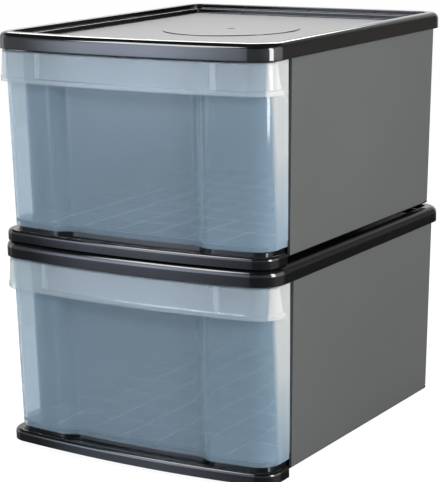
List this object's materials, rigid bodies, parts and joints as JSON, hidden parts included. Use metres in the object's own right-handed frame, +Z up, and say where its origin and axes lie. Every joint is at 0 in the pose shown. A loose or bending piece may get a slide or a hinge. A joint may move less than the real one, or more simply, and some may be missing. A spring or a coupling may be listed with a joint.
{
  "type": "stackable drawer box",
  "caption": "Two stacked storage units, each a covered case on a base with a translucent pull-out drawer that has a full-width handle band.",
  "frame": {"origin": "on the floor, under the middle of the stack's overall box", "axes": "+Z up, +X to the right as seen from the front, the drawers open towards -Y"},
  "size_m": [0.3, 0.365, 0.3985],
  "materials": {
    "gloss_black": "glossy moulded polystyrene",
    "matte_grey": "fine matte grain",
    "clear_blue": "glossy, translucent, faintly blue polypropylene"
  },
  "bodies": {
    "lower_case": {"lower_base": "gloss_black", "lower_shell": "matte_grey", "lower_cover": "gloss_black"},
    "lower_drawer": {"lower_drawer": "clear_blue", "lower_front": "clear_blue", "lower_band": "clear_blue"},
    "upper_case": {"upper_base": "gloss_black", "upper_shell": "matte_grey", "upper_cover": "gloss_black"},
    "upper_drawer": {"upper_drawer": "clear_blue", "upper_front": "clear_blue", "upper_band": "clear_blue"}
  },
  "joints": [
    {"name": "lower_drawer_slide", "type": "slide", "parent": "lower_case", "child": "lower_drawer", "axis": [0, -1, 0], "range_m": [0, 0.293]},
    {"name": "unit_lift", "type": "slide", "parent": "lower_case", "child": "upper_case", "axis": [0, 0, 1], "range_m": [0, 0.12]},
    {"name": "upper_drawer_slide", "type": "slide", "parent": "upper_case", "child": "upper_drawer", "axis": [0, -1, 0], "range_m": [0, 0.293]}
  ]
}
